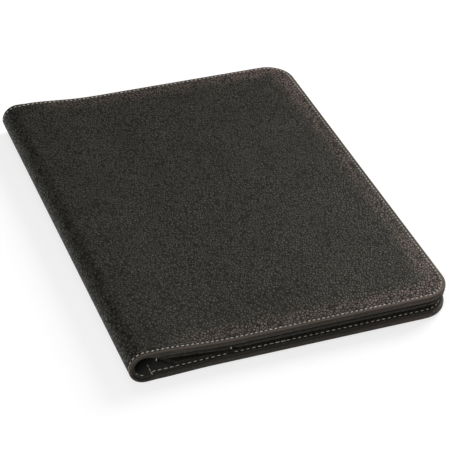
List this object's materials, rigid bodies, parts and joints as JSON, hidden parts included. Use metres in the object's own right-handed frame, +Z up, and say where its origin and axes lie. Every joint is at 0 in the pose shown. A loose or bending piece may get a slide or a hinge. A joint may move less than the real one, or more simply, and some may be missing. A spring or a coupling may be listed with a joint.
{
  "type": "padfolio",
  "caption": "Closed leather writing folio that opens flat like a book, with a soft rounded spine, a letter pad in a slide-out pocket, document and card pockets and a pen loop.",
  "frame": {"origin": "under the middle of the closed folio, on the surface it lies on", "axes": "+X from the spine to the fore-edge, +Y from the tail to the head, +Z up through the closed covers"},
  "size_m": [0.2456, 0.33, 0.0244],
  "materials": {
    "cover_leather": "pebbled, semi-matte",
    "spine_leather": "pebbled, semi-matte",
    "lining": "matte woven twill",
    "pocket_leather": "smooth, semi-matte",
    "elastic": "ribbed elastic",
    "foam": "matte",
    "board": "matte",
    "backing_card": "matte",
    "paper": "matte, ruled",
    "binding_tape": "matte"
  },
  "bodies": {
    "back_cover": {"back_cover_leather": "cover_leather", "back_padding": "foam", "back_board": "board", "back_lining": "lining", "pad_pocket": "pocket_leather", "pen_loop": "elastic"},
    "spine": {"spine_leather": "spine_leather", "spine_lining": "lining"},
    "front_cover": {"front_cover_leather": "cover_leather", "front_padding": "foam", "front_board": "board", "front_lining": "lining", "document_pocket": "pocket_leather", "card_strip": "pocket_leather"},
    "writing_pad": {"pad_backing": "backing_card", "pad_sheets": "paper", "pad_binding": "binding_tape"}
  },
  "joints": [
    {"name": "spine_bend", "type": "hinge", "parent": "back_cover", "child": "spine", "pos_m": [-0.11923, 0, 0.00357], "axis": [0, -1, 0], "range_deg": [0, 90]},
    {"name": "cover_open", "type": "hinge", "parent": "spine", "child": "front_cover", "pos_m": [-0.11923, 0, 0.02083], "axis": [0, -1, 0], "range_deg": [0, 90]},
    {"name": "pad_slide", "type": "slide", "parent": "back_cover", "child": "writing_pad", "axis": [0, 1, 0], "range_m": [0, 0.25]}
  ],
  "couplings": [
    {"joint": "spine_bend", "follows": "cover_open", "ratio": 1}
  ]
}
